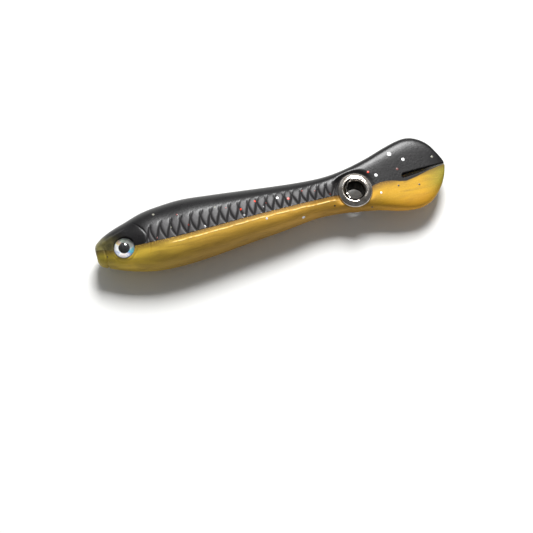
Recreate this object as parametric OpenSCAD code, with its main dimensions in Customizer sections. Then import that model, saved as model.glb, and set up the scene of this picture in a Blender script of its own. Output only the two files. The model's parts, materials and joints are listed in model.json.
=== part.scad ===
// Soft swimbait: a two-shot plastisol fish with a split paddle tail, domed eyes and a tail eyelet.
// It lies on its right flank: nose to -X, tail to +X, back to +Y, belly to -Y, left flank up (+Z).
// The origin is at the centre of its bounding box, on the surface that the flank rests on.

/* [Body] */
// Overall length, from the nose face to the tail tip
body_length = 104; // [100:1:108]
// Greatest thickness, from flank to flank
body_thickness = 13; // [12.5:0.25:13.5]
// Squareness of the trunk's cross-section: 2 is an ellipse, more is boxier
section_power = 2.3; // [2.1:0.1:2.5]
// Flatness of the tail paddle's flanks: more is flatter, with a tighter round edge
paddle_power = 7; // [5:0.5:8]

/* [Flexing] */
// Place of the body bend, from the nose
bend_x = 41; // [40.5:0.5:42]
// Place of the tail kick, from the nose
kick_x = 65; // [63:1:66]
// Place where the two tail lobes flutter, from the nose
flutter_x = 94.5; // [94:0.5:95]
// Gap that the moving segments keep from each other
flex_gap = 0.3; // [0.25:0.05:0.4]

/* [Tail slot] */
// Blind end of the slot between the tail lobes, from the nose
slot_x = 90.6; // [90:0.2:91]
// Width of the slot at its round blind end
slot_w = 1.3; // [1.1:0.1:1.5]
// Width of the slot at the tail tip
slot_tip_w = 0.6; // [0.5:0.1:0.8]

/* [Eyes] */
// Diameter of an eye
eye_d = 6; // [5.6:0.1:6.2]
// Diameter of the pupil
pupil_d = 3.3; // [2.8:0.1:3.6]
// Height of the clear dome above the iris foil
dome_h = 1.4; // [1.2:0.1:1.5]
// Distance of the socket floors from the fish's middle plane
socket_z = 4.3; // [4.1:0.1:4.5]

/* [Tail eyelet] */
// Bore of the eyelet barrel
eyelet_bore = 5; // [4.6:0.1:5.2]
// Wall of the barrel
eyelet_wall = 0.4; // [0.3:0.05:0.5]
// Outer diameter of the domed washer
washer_d = 10.2; // [9.8:0.1:10.4]
// Outer diameter of the barrel's flange
flange_d = 9.4; // [9:0.1:9.8]
// Thickness of the flange sheet
flange_t = 0.5; // [0.4:0.05:0.6]
// Height of the domed washer
washer_h = 1.1; // [0.9:0.1:1.2]
// Distance of the flange seats from the fish's middle plane
seat_z = 3.1; // [3:0.05:3.2]

/* [Hidden] */
$fn = 64;

black = "#2b292b";
gold = "#b58a2c";
silver = "#c9cdd2";
nickel = "#b9b6b1";

// Outlines of the pattern fish, 104 long and 13 thick: [distance from the nose, height or half thickness]
pattern_length = 104;
pattern_thickness = 13;
back_line = [
    [0, 2.2], [1, 3.1], [3, 4.4], [6, 5.7], [10, 7], [15, 8.6], [20, 9.4], [27, 9.8], [35, 9.1],
    [45, 8], [55, 6.9], [63, 6.2], [69, 6], [75, 6.7], [82, 8.4], [88, 10.4], [92, 11.5], [95, 11.8],
    [98, 10.9], [101, 8.4], [103, 4.8], [104, 2.3]
];
belly_line = [
    [0, -2.9], [1, -3.8], [3, -4.7], [6, -6], [10, -7.4], [15, -8.6], [20, -9], [27, -8.9], [35, -8.2],
    [45, -7.1], [55, -6.1], [63, -5.2], [69, -5.3], [75, -6], [82, -7.3], [88, -9.1], [92, -9.8], [95, -9.6],
    [98, -8.3], [101, -5.4], [103, -2.2], [104, 0.6]
];
half_line = [
    [0, 2.8], [1, 3.4], [3, 4.3], [6, 5.1], [10, 5.8], [16, 6.4], [23, 6.5], [30, 6.5], [38, 6.2],
    [47, 5.7], [56, 5], [65, 4.3], [76, 3.6], [84, 3], [92, 2.2], [98, 1.6], [102, 1.1], [104, 0.7]
];
// Height of the line where the black back shot meets the gold belly shot
seam_line = [
    [0, 0.3], [2, -0.3], [5, -1.5], [10, -2], [20, -2.4], [32, -2.2], [45, -1.7], [60, -1.3], [72, -1.2],
    [80, -1.2], [84, -0.4], [88, -0.4], [91, 0.2]
];
slab_from = 62;        // the trunk starts to turn into the paddle
slab_to = 88;          // and here it is all paddle
tip_y = 1.4;           // height of the slot's open end
middle_y = 1;          // middle of the outline's height, which goes to Y = 0
eye_at = [8.2, -1.6];
eyelet_at = [76.4, -1];

// Cross-sections of the soft segments, from the nose
stations = [
    -1, 0, 0.5, 1, 2, 3.5, 5.5, 8, 11, 15, 19, 23, 27, 31, 36, 41, 46, 51, 56, 60, 64, 68, 72, 76, 80, 84,
    87, 89, 90.6, 90.8, 91.1, 91.5, 92, 93, 95, 97, 99, 100.5, 102, 103, 103.6, 104
];
arc_steps = 20;        // steps round one shot's part of a cross-section

k = body_length / pattern_length;
thick_k = body_thickness / pattern_thickness;
eye_r = eye_d / 2;
foil_t = 0.15;         // iris foil and pupil print, each
pad_t = 0.15;          // self-adhesive pad behind the iris
barrel_r = eyelet_bore / 2 + eyelet_wall;
far = 80;              // larger than any part of the fish

// A smooth curve through the points p, as a height over x
function slope(p, i) =
    let (a = max(i - 1, 0), b = min(i + 1, len(p) - 1)) (p[b][1] - p[a][1]) / (p[b][0] - p[a][0]);
function span(p, x, i = 0) = i >= len(p) - 2 || x < p[i + 1][0] ? i : span(p, x, i + 1);
function curve(p, x) =
    let (
        i = span(p, x),
        w = p[i + 1][0] - p[i][0],
        t = (x - p[i][0]) / w
    )
    (2 * t * t * t - 3 * t * t + 1) * p[i][1] + (t * t * t - 2 * t * t + t) * w * slope(p, i)
    + (3 * t * t - 2 * t * t * t) * p[i + 1][1] + (t * t * t - t * t) * w * slope(p, i + 1);

function back_y(x) = k * curve(back_line, x / k);
function belly_y(x) = k * curve(belly_line, x / k);
function half_z(x) = thick_k * curve(half_line, x / k);
function seam_y(x) = k * curve(seam_line, x / k);

// Half the slot's width: a round blind end, then a straight taper to the tip
function slot_half(x) =
    let (r = slot_w / 2, from_end = x - k * slot_x)
    from_end <= 0 ? 0
    : from_end < r ? sqrt(r * r - (r - from_end) * (r - from_end))
    : r + (slot_tip_w / 2 - r) * (from_end - r) / (body_length - k * slot_x - r);
function slot_y(x) =
    let (from_y = seam_y(k * slot_x), share = (x - k * slot_x) / (body_length - k * slot_x))
    from_y + (k * tip_y - from_y) * share;
function split_y(x, side) = x <= k * slot_x ? seam_y(x) : slot_y(x) + side * slot_half(x);

// Flatness of the flanks at x: the trunk is rounded and the paddle is a slab with round edges
function flatness(x) =
    let (t = min(max((x / k - slab_from) / (slab_to - slab_from), 0), 1))
    section_power + (paddle_power - section_power) * t * t * (3 - 2 * t);

// One shot's part of the cross-section at x: side is 1 for the back and -1 for the belly.
// Its points run from the left flank over the edge to the right flank.
function section(x, side) =
    let (
        top = back_y(x),
        low = belly_y(x),
        centre = (top + low) / 2,
        half_h = (top - low) / 2,
        edge = side > 0 ? top : low,
        from = split_y(x, side),
        flat = flatness(x)
    )
    [for (i = [0:arc_steps])
        let (
            a = 180 * i / arc_steps,
            y = from + (edge - from) * sin(a),
            share = min(abs((y - centre) / half_h), 1),
            z = half_z(x) * pow(1 - pow(share, flat), 1 / section_power)
        )
        [x, y, a < 90 ? z : -z]];

// A shot's solid between two distances from the nose
module shot(from, to, side) {
    xs = concat([from], [for (s = stations) if (k * s > from + 0.1 && k * s < to - 0.1) k * s], [to]);
    ring = arc_steps + 1;
    last = (len(xs) - 1) * ring;
    points = [for (x = xs) each section(x, side)];
    sides = [for (s = [0:len(xs) - 2]) for (i = [0:ring - 1])
        let (j = (i + 1) % ring, a = s * ring, b = a + ring)
        each [[a + i, b + j, a + j], [a + i, b + i, b + j]]];
    polyhedron(
        points = points,
        faces = concat(
            [[for (i = [0:ring - 1]) i]],
            [[for (i = [ring - 1:-1:0]) last + i]],
            sides
        )
    );
}

// A round bar through the fish, along the back-to-belly axis of a flex
module flex_bar(x, r) {
    translate([x, 0, 0]) rotate([90, 0, 0]) cylinder(h = far, r = r, center = true);
}

// A soft segment with a round front end at one flex and a hollow rear end at the next.
// front or rear is undef at an end that doesn't flex.
module segment(from, to, side, front, rear) {
    round_r = is_undef(front) ? 0 : half_z(front) + flex_gap;
    hollow_r = is_undef(rear) ? 0 : half_z(rear) + 2 * flex_gap;
    difference() {
        shot(from - round_r, to, side);
        if (round_r > 0)
            difference() {
                translate([from - far, -far / 2, -far / 2]) cube(far);
                flex_bar(front, round_r);
            }
        if (hollow_r > 0) flex_bar(rear, hollow_r);
    }
}

// From the pattern's own axes to where the fish lies
module lay() {
    translate([-body_length / 2, -k * middle_y, body_thickness / 2]) children();
}

// Cut the two eye sockets out of a head segment
module with_sockets() {
    difference() {
        children();
        for (s = [-1, 1])
            translate([k * eye_at[0], k * eye_at[1], s * socket_z])
                mirror([0, 0, s > 0 ? 0 : 1])
                    cylinder(h = far / 8, r = eye_r + 0.05);
    }
}

// Cut the barrel's hole and the flange seats out of a tail segment
module with_eyelet_hole() {
    difference() {
        children();
        translate([k * eyelet_at[0], k * eyelet_at[1], 0]) {
            cylinder(h = far, r = barrel_r, center = true);
            for (s = [-1, 1])
                mirror([0, 0, s > 0 ? 0 : 1])
                    translate([0, 0, seat_z])
                        cylinder(h = far / 8, r = washer_d / 2 + 0.05);
        }
    }
}

module head(side) {
    with_sockets()
        intersection() {
            segment(-k, k * bend_x, side, undef, k * bend_x);
            translate([0, -far / 2, -far / 2]) cube([far, far, far]);
        }
}

module head_back() { color(black) lay() head(1); }

module head_belly() { color(gold) lay() head(-1); }

module mid_back() { color(black) lay() segment(k * bend_x, k * kick_x, 1, k * bend_x, k * kick_x); }

module mid_belly() { color(gold) lay() segment(k * bend_x, k * kick_x, -1, k * bend_x, k * kick_x); }

module tail(side) {
    with_eyelet_hole() segment(k * kick_x, k * flutter_x, side, k * kick_x, k * flutter_x);
}

module tail_back() { color(black) lay() tail(1); }

module tail_belly() { color(gold) lay() tail(-1); }

module lobe(side) { segment(k * flutter_x, body_length, side, k * flutter_x, undef); }

module upper_lobe() { color(black) lay() lobe(1); }

module lower_lobe() { color(gold) lay() lobe(-1); }

// Put a piece of an eye on a socket floor: side is 1 for the left flank and -1 for the right
module on_socket(side, height) {
    lay()
        translate([k * eye_at[0], k * eye_at[1], 0])
            mirror([0, 0, side > 0 ? 0 : 1])
                translate([0, 0, socket_z + height])
                    children();
}

module eye_pad(side) { color("white") on_socket(side, 0) cylinder(h = pad_t, r = eye_r - 0.1); }

module eye_iris(side) { color(silver) on_socket(side, pad_t) cylinder(h = foil_t, r = eye_r); }

module eye_pupil(side) { color("black") on_socket(side, pad_t + foil_t) cylinder(h = foil_t, r = pupil_d / 2); }

// The clear dome is a cap of a ball, hollowed underneath for the pupil
module eye_dome(side) {
    ball_r = (eye_r * eye_r + dome_h * dome_h) / (2 * dome_h);
    color([0.85, 0.9, 0.95, 0.4])
        on_socket(side, pad_t + foil_t)
            difference() {
                intersection() {
                    translate([0, 0, dome_h - ball_r]) sphere(r = ball_r);
                    cylinder(h = dome_h + 1, r = eye_r);
                }
                translate([0, 0, -1]) cylinder(h = 1 + foil_t, r = pupil_d / 2);
            }
}

module eye_pad_left() { eye_pad(1); }

module eye_iris_left() { eye_iris(1); }

module eye_pupil_left() { eye_pupil(1); }

module eye_dome_left() { eye_dome(1); }

module eye_pad_right() { eye_pad(-1); }

module eye_iris_right() { eye_iris(-1); }

module eye_pupil_right() { eye_pupil(-1); }

module eye_dome_right() { eye_dome(-1); }

// Put a piece of the eyelet on its axis, with 0 at the fish's middle plane
module at_eyelet() {
    lay() translate([k * eyelet_at[0], k * eyelet_at[1], 0]) children();
}

// The barrel, its flange on the right flank and its set lip level with the washer's top
module eyelet_barrel() {
    barrel_top = seat_z + washer_h - 0.3;
    color(nickel)
        at_eyelet()
            difference() {
                union() {
                    translate([0, 0, -seat_z]) cylinder(h = seat_z + barrel_top, r = barrel_r);
                    translate([0, 0, -seat_z - flange_t]) cylinder(h = flange_t, r = flange_d / 2);
                }
                cylinder(h = far, r = eyelet_bore / 2, center = true);
            }
}

// The domed washer that the barrel is set over, on the left flank
module eyelet_washer() {
    inner_r = barrel_r;
    rim_r = (washer_d / 2 - inner_r) / 2;
    color(nickel)
        at_eyelet()
            translate([0, 0, seat_z])
                rotate_extrude()
                    translate([inner_r + rim_r, 0])
                        intersection() {
                            scale([1, washer_h / rim_r]) circle(r = rim_r);
                            translate([-rim_r, 0]) square([2 * rim_r, washer_h]);
                        }
}

head_back();
head_belly();
mid_back();
mid_belly();
tail_back();
tail_belly();
upper_lobe();
lower_lobe();
eye_pad_left();
eye_iris_left();
eye_pupil_left();
eye_dome_left();
eye_pad_right();
eye_iris_right();
eye_pupil_right();
eye_dome_right();
eyelet_barrel();
eyelet_washer();
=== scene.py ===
import json
import math

import bpy
import numpy as np
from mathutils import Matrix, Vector
from mathutils.bvhtree import BVHTree


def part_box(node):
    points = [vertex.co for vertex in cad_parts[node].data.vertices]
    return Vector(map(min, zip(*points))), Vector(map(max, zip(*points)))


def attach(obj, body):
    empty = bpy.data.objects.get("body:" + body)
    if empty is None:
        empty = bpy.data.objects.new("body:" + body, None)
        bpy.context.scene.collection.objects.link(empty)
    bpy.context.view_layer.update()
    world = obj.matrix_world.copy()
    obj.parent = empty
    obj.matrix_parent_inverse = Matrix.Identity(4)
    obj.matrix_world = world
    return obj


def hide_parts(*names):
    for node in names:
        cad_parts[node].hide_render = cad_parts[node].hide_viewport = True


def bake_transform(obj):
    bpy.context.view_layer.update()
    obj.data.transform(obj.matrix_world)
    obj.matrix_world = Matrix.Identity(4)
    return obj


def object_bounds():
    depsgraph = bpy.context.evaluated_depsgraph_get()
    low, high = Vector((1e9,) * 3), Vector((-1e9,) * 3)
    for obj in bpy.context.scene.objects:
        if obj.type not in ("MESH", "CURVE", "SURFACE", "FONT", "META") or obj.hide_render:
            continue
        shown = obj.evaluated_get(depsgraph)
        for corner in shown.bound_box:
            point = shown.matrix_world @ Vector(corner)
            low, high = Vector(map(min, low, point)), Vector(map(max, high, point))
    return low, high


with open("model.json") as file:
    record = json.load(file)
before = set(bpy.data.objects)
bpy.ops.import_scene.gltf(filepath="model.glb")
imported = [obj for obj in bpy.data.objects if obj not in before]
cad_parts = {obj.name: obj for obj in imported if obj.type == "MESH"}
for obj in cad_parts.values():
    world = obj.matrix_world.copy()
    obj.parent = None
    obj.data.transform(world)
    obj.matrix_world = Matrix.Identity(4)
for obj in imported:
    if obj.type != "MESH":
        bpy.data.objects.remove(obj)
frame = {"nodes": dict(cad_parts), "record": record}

cad_low, cad_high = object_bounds()

# ---------------------------------------------------------------------------------------------
# The mould cavity. Both shots are poured in one aluminium mould, so its cavity is the whole fish:
# the back, the belly and the flank are smooth curves through a few heights. Sizes are in
# millimetres: x from the nose face, y up the fish, z out from its middle plane to the left flank.
MM = 0.001
BACK_LINE = [
    (0, 2.2), (1, 3.1), (3, 4.4), (6, 5.7), (10, 7), (15, 8.6), (20, 9.4), (27, 9.8), (35, 9.1),
    (45, 8), (55, 6.9), (63, 6.2), (69, 6), (75, 6.7), (82, 8.4), (88, 10.4), (92, 11.5), (95, 11.8),
    (98, 10.9), (101, 8.4), (103, 4.8), (104, 2.3),
]
BELLY_LINE = [
    (0, -2.9), (1, -3.8), (3, -4.7), (6, -6), (10, -7.4), (15, -8.6), (20, -9), (27, -8.9), (35, -8.2),
    (45, -7.1), (55, -6.1), (63, -5.2), (69, -5.3), (75, -6), (82, -7.3), (88, -9.1), (92, -9.8),
    (95, -9.6), (98, -8.3), (101, -5.4), (103, -2.2), (104, 0.6),
]
HALF_LINE = [
    (0, 2.8), (1, 3.4), (3, 4.3), (6, 5.1), (10, 5.8), (16, 6.4), (23, 6.5), (30, 6.5), (38, 6.2),
    (47, 5.7), (56, 5), (65, 4.3), (76, 3.6), (84, 3), (92, 2.2), (98, 1.6), (102, 1.1), (104, 0.7),
]
SEAM_LINE = [
    (0, 0.3), (2, -0.3), (5, -1.5), (10, -2), (20, -2.4), (32, -2.2), (45, -1.7), (60, -1.3), (72, -1.2),
    (80, -1.2), (84, -0.4), (88, -0.4), (91, 0.2),
]
TIP_X = 104
SECTION_POWER = 2.3         # squareness of the trunk's cross-section
PADDLE_POWER = 7            # flatness of the paddle's flanks
SLAB_FROM, SLAB_TO = 62, 88
SAG = 3                     # how far below its middle the trunk is widest
SAG_FROM, SAG_TO = (12, 24), (58, 70)       # where the sag begins and ends along the trunk
SLOT_X = 90.6               # blind end of the slot between the tail lobes
SLOT_R, SLOT_TIP_HALF = 0.65, 0.14
SLOT_TIP_Y = 1.4
NOSE_ROUND, TIP_ROUND = 0.8, 0.3
SLOT_EDGE_ROUND = 0.3


def smooth_curve(points, x):
    """Height at x of the smooth curve through the points."""
    p = np.array(points, float)
    px, py = p[:, 0], p[:, 1]
    last = len(px) - 1
    before, after = np.maximum(np.arange(last + 1) - 1, 0), np.minimum(np.arange(last + 1) + 1, last)
    slope = (py[after] - py[before]) / (px[after] - px[before])
    i = np.clip(np.searchsorted(px, x, side="right") - 1, 0, last - 1)
    w = px[i + 1] - px[i]
    t = (x - px[i]) / w
    return (
        (2 * t**3 - 3 * t**2 + 1) * py[i] + (t**3 - 2 * t**2 + t) * w * slope[i]
        + (3 * t**2 - 2 * t**3) * py[i + 1] + (t**3 - t**2) * w * slope[i + 1]
    )


def ease(x, start, end):
    """0 before start, 1 after end, and smooth between them; start may be the larger."""
    t = np.clip((x - start) / (end - start), 0, 1)
    return t * t * (3 - 2 * t)


def quarter_round(distance, radius):
    """How far a rounded edge falls in at a distance from the face that it rounds into."""
    d = np.clip(distance, 0, radius)
    return radius - np.sqrt(np.maximum(radius**2 - (radius - d) ** 2, 0))


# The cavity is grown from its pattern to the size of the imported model
GROW = (cad_high.x - cad_low.x) / MM / TIP_X
FATTEN = (cad_high.z - cad_low.z) / MM / (2 * max(h for _, h in HALF_LINE))
HEIGHTS = smooth_curve(BACK_LINE, np.linspace(0, TIP_X, 1041))
MID_Y = cad_high.y - HEIGHTS.max() * GROW * MM
MID_Z = (cad_high.z + cad_low.z) / 2
SCALE = np.array([GROW, GROW, FATTEN]) * MM
ORIGIN = np.array([cad_low.x, MID_Y, MID_Z])


def to_frame(points):
    """From the cavity's millimetres to the frame's metres."""
    return np.asarray(points, float) * SCALE + ORIGIN


def to_cavity(point):
    """From the frame's metres to the cavity's millimetres."""
    return (np.asarray(point, float) - ORIGIN) / SCALE


def slot_half(x):
    """Half the slot's width: a round blind end, then a straight taper to the tail tip."""
    d = x - SLOT_X
    blind = np.sqrt(np.maximum(SLOT_R**2 - (SLOT_R - np.clip(d, 0, SLOT_R)) ** 2, 0))
    taper = SLOT_R + (SLOT_TIP_HALF - SLOT_R) * (d - SLOT_R) / (TIP_X - SLOT_X - SLOT_R)
    return np.where(d <= 0, 0, np.where(d < SLOT_R, blind, taper))


def parting(x, side):
    """Height at x where a shot ends: the seam between the shots, then its wall of the slot."""
    start = smooth_curve(SEAM_LINE, SLOT_X)
    slot_y = start + (SLOT_TIP_Y - start) * (x - SLOT_X) / (TIP_X - SLOT_X)
    seam = smooth_curve(SEAM_LINE, np.minimum(x, SLOT_X))
    return np.where(x <= SLOT_X, seam, slot_y + side * slot_half(x))


def half_rings(xs, side, shares):
    """A shot's left half at each x: points from the parting line to the fish's edge, and how far each
    lies from the parting line. The shares divide each half ring by its length."""
    x = np.asarray(xs, float)[:, None]
    angle = np.linspace(0, np.pi / 2, 721)[None, :]
    inset = quarter_round(x, NOSE_ROUND) * (x < NOSE_ROUND) + quarter_round(TIP_X - x, TIP_ROUND)
    top, low = smooth_curve(BACK_LINE, x) - inset, smooth_curve(BELLY_LINE, x) + inset
    centre, half_h = (top + low) / 2, (top - low) / 2
    start = parting(x, side)
    edge = top if side > 0 else low
    y = start + (edge - start) * np.sin(angle)
    flat = SECTION_POWER + (PADDLE_POWER - SECTION_POWER) * ease(x, SLAB_FROM, SLAB_TO)
    widest = centre - SAG * ease(x, *SAG_FROM) * ease(x, *SAG_TO[::-1])
    above, below = centre + half_h - widest, widest - centre + half_h
    share = np.clip(np.where(y > widest, (y - widest) / above, (widest - y) / below), 0, 1)
    z = (smooth_curve(HALF_LINE, x) - inset) * np.maximum(1 - share**flat, 0) ** (1 / SECTION_POWER)
    rounding = SLOT_EDGE_ROUND * ease(x, SLOT_X, SLOT_X + 1)
    z = np.maximum(z - quarter_round(np.abs(y - start), rounding), 0)
    z[:, -1] = 0
    run = np.concatenate(
        [np.zeros((len(x), 1)), np.cumsum(np.hypot(np.diff(y, axis=1), np.diff(z, axis=1)), axis=1)], axis=1
    )
    points = np.zeros((len(x), len(shares), 3))
    for i in range(len(x)):
        at = shares * run[i, -1]
        points[i, :, 0] = x[i, 0]
        points[i, :, 1] = np.interp(at, run[i], y[i])
        points[i, :, 2] = np.interp(at, run[i], z[i])
    return points, shares[None, :] * run[:, -1:]


def normals(xs, side, shares):
    """Outward unit normals of the same points, from the cavity's own slopes."""
    step = 0.02
    ahead = half_rings(np.minimum(np.asarray(xs) + step, TIP_X), side, shares)[0]
    behind = half_rings(np.maximum(np.asarray(xs) - step, 0), side, shares)[0]
    here = half_rings(xs, side, shares)[0]
    along = ahead - behind
    mirrored = here[:, -2:-1] * (1, 1, -1)
    wider = np.concatenate([here[:, :1], here, mirrored], axis=1)
    around = wider[:, 2:] - wider[:, :-2]
    n = np.cross(along, around) * side
    return n / np.maximum(np.linalg.norm(n, axis=2, keepdims=True), 1e-9)


# ---------------------------------------------------------------------------------------------
# The relief of the cavity: what the mould maker cut into it with a graver. A net of crossed lines
# makes the scales above the seam, and a bead, a mouth, a gill edge and eyelids finish the fish.
SCALES_FROM, SCALES_TO = 14.5, 71.5
SCALE_PITCH, PITCH_TAPER = 3.1, 0.0125          # scales near the head are larger
SCALE_TOPS = [(14, 5.2), (20, 6.2), (30, 6.5), (45, 6), (60, 5.3), (72, 4.8)]
BEAD_LINE = [(20, -4), (26, -3.9), (30, -3.8), (38, -3.5), (45, -3.1), (51, -2.9), (60, -2.7), (72, -2.6)]
CUT_HALF, CUT_DEPTH = 0.2, 0.2              # a line of the net
PILLOW_HALF, PILLOW_DEPTH = 0.5, 0.1        # how a scale falls away towards the line
BEAD_HALF, BEAD_HEIGHT, STEP_DEPTH = 0.15, 0.07, 0.1
MOUTH_X = 2.6
GILL_X = 15.6

iris_low, iris_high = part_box("eye_iris_left")
EYE = to_cavity((iris_low + iris_high) / 2)
EYE_R = (iris_high.x - iris_low.x) / 2 / MM
washer_low, washer_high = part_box("eyelet_washer")
EYELET = to_cavity((washer_low + washer_high) / 2)
WASHER_R = (washer_high.x - washer_low.x) / 2 / MM
SEAT_Z = to_cavity(washer_low)[2]
pad_low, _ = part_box("eye_pad_left")
SOCKET_Z = to_cavity(pad_low)[2]


def graved(distance, width, depth):
    """A line cut by a round-nosed graver: how far it lowers the surface at a distance from it."""
    return -depth * np.exp(-((distance / width) ** 2))


def ripple(x, y, size):
    """A slow wander between -1 and 1, so that hand-cut lines aren't ruled ones."""
    a, b = x / size, y / size
    slow, crossed = np.sin(a * 2.1 + 1.3 * np.sin(b * 1.7)), np.sin(a * 0.83 + b * 2.6 + 2)
    return (slow + crossed + np.sin(b * 1.1 - a * 3.3)) / 3


def scale_count(x):
    """How many scales lie between the first one and x, along the seam."""
    pitch = SCALE_PITCH - PITCH_TAPER * (x - SCALES_FROM)
    return np.log(SCALE_PITCH / pitch) / PITCH_TAPER, pitch


def scale_net(x, rise):
    """The scales: two families of lines that cross on the seam, pillowed between the lines. Gives how
    far each point is lifted, how deep in a cut it lies, and how far inside the net, both from 0 to 1."""
    wander = 0.16 * ripple(x, rise, 1.9)
    cut, pillow = 0, 0
    for shift in (0.5 * rise - 0.06 * rise**2, -0.44 * rise):
        count, pitch = scale_count(x + shift + wander)
        off = np.abs(count - np.round(count)) * pitch
        cut = np.maximum(cut, np.exp(-((off / CUT_HALF) ** 2)))
        pillow = np.maximum(pillow, np.exp(-((off / PILLOW_HALF) ** 2)))
    top = np.interp(x, *np.array(SCALE_TOPS).T)
    held = ease(rise, top, top - 2.2) * ease(x, SCALES_FROM - 0.6, SCALES_FROM + 1)
    held = held * ease(x, SCALES_TO + 0.8, SCALES_TO - 0.8) * ease(rise, 0, 0.3)
    return -held * (CUT_DEPTH * cut + PILLOW_DEPTH * pillow), held * cut, held**1.5


def head_relief(x, y):
    """The mouth line behind the lips and the gill edge, which cross both shots."""
    mouth = graved(x - MOUTH_X, 0.26, 0.26) * ease(y, 0.6, -1.2)
    gill = GILL_X - 0.07 * (y + 2) ** 2
    edge = graved(x - gill, 0.22, 0.14) * ease(y, 5.5, 3) * ease(y, -7.5, -6)
    return mouth + edge


def back_relief(x, y, rise):
    """Relief of the black shot."""
    brow = 0.16 * np.exp(-(((y - (0.9 + 0.25 * x)) / 0.55) ** 2)) * ease(x, 1.5, 3.5) * ease(x, 12, 8)
    net, cut, held = scale_net(x, rise)
    return net + head_relief(x, y) + brow, cut, held


def belly_relief(x, y, rise):
    """Relief of the gold shot: the broken bead under the seam stands at the foot of a shallow step. Its
    crest takes the place that the cuts have on the black shot, and masks the highlight painted on the bead."""
    above = y - smooth_curve(BEAD_LINE, np.clip(x, 20, 72)) + 0.1 * ripple(x, x, 2.3)
    length = ease(x, 19, 25) * ease(x, 72, 69)
    broken = 0.2 + 0.8 * ease(ripple(x, 0 * x, 0.8), -0.6, 0.2)
    crest = length * broken * np.exp(-((above / BEAD_HALF) ** 2))
    step = STEP_DEPTH * length * ease(above, -0.05, 0.4)
    r = np.hypot(x - EYE[0], y - EYE[1])
    under_eye = graved(r - EYE_R - 0.8, 0.2, 0.16) * ease(y, EYE[1] - 1, EYE[1] - 2.4)
    return BEAD_HEIGHT * crest - step + head_relief(x, y) + under_eye, crest, 0 * x


# ---------------------------------------------------------------------------------------------
# The two shots. Soft plastisol is poured in twice, black for the back and pearl gold for the belly,
# and the two fuse along the seam. Each is cut where no joint bends it.
HEAD_END, TAIL_END = 53, 85.5
FINE_BANDS = [(12.5, 0.1), (72, 0.125), (82.5, 0.15), (SLOT_X, 0.25), (TIP_X, 0.2)]
HOLE_R = 3.0                # hole for the eyelet barrel
# Below the slot a tongue of the black shot lies over the gold, down to this line
OVERLAP_LINE = [
    (86.5, -0.4), (88, -0.7), (89.7, -1.3), (91.7, -1.6), (94.8, -1.0), (98.7, 0.1), (103.1, 1.0),
    (104, 1.6),
]
SOCKET_R = 3.08
CRISP = 0.03                # half the width of a socket's crisp edge
SEATED = 0.02               # how far a seat lies under what stands on it
SEAT_BLEND = 1.6            # width of the skin that falls in to the eyelet's seat


def stations(start, end):
    """Distances from the nose at which the cavity is measured: close together where it is detailed."""
    xs, here = [0.0], 0.0
    for to, step in FINE_BANDS:
        xs += list(np.linspace(here, to, math.ceil((to - here) / step) + 1)[1:])
        here = to
    turn = 1 - np.cos(np.linspace(0, np.pi / 2, 11))
    for low, high, curved in (
        (0, NOSE_ROUND, NOSE_ROUND * turn),
        (SLOT_X, SLOT_X + SLOT_R, SLOT_X + SLOT_R * turn),
        (TIP_X - TIP_ROUND, TIP_X, TIP_X - TIP_ROUND * turn[::-1]),
    ):
        xs = [x for x in xs if not low - 0.05 < x < high + 0.05] + list(curved)
    inner = [x for x in sorted(xs) if start + 0.04 < x < end - 0.04]
    return np.array([start, *inner, end])


def near_border(inside):
    """The points of a set, and those outside it, that have a neighbour across its border. The parting
    line looks only along itself, so that both shots agree on it."""
    changes = []
    for mask in (inside, ~inside):
        other = np.pad(~mask, 1, mode="edge")
        rows, columns = mask.shape
        touch = np.zeros_like(mask)
        for di in (-1, 0, 1):
            for dj in (-1, 0, 1):
                touch |= other[1 + di:1 + di + rows, 1 + dj:1 + dj + columns]
        for j in (0, columns - 1):
            line = np.pad(~mask[:, j], 1, mode="edge")
            touch[:, j] = line[:-2] | line[2:]
        changes.append(mask & touch)
    return changes


def move_to_circle(points, chosen, centre, radius):
    """Slides the chosen points across the surface onto a circle about the centre."""
    away = points[chosen][:, :2] - centre[:2]
    points[chosen, :2] = centre[:2] + away * (radius / np.linalg.norm(away, axis=1))[:, None]


def press_in(points):
    """Presses the eye sockets and the seats of the eyelet into a shot's surface."""
    x, y, z = points[..., 0], points[..., 1], points[..., 2]
    r = np.hypot(x - EYELET[0], y - EYELET[1])
    floor = SEAT_Z - SEATED + (np.abs(z) - SEAT_Z) * ease(r, WASHER_R + 0.15, WASHER_R + SEAT_BLEND)
    seat = (r < WASHER_R + SEAT_BLEND) & (np.abs(z) > SEAT_Z - SEATED)
    points[..., 2] = np.where(seat, np.sign(z) * floor, z)
    inside = np.hypot(x - EYE[0], y - EYE[1]) < SOCKET_R
    if inside.any():
        inner, outer = near_border(inside)
        move_to_circle(points, inner, EYE, SOCKET_R - CRISP)
        move_to_circle(points, outer, EYE, SOCKET_R + CRISP)
        sunk = np.sign(z) * np.minimum(np.abs(z), SOCKET_Z - SEATED)
        points[..., 2] = np.where(inside, sunk, points[..., 2])


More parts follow.
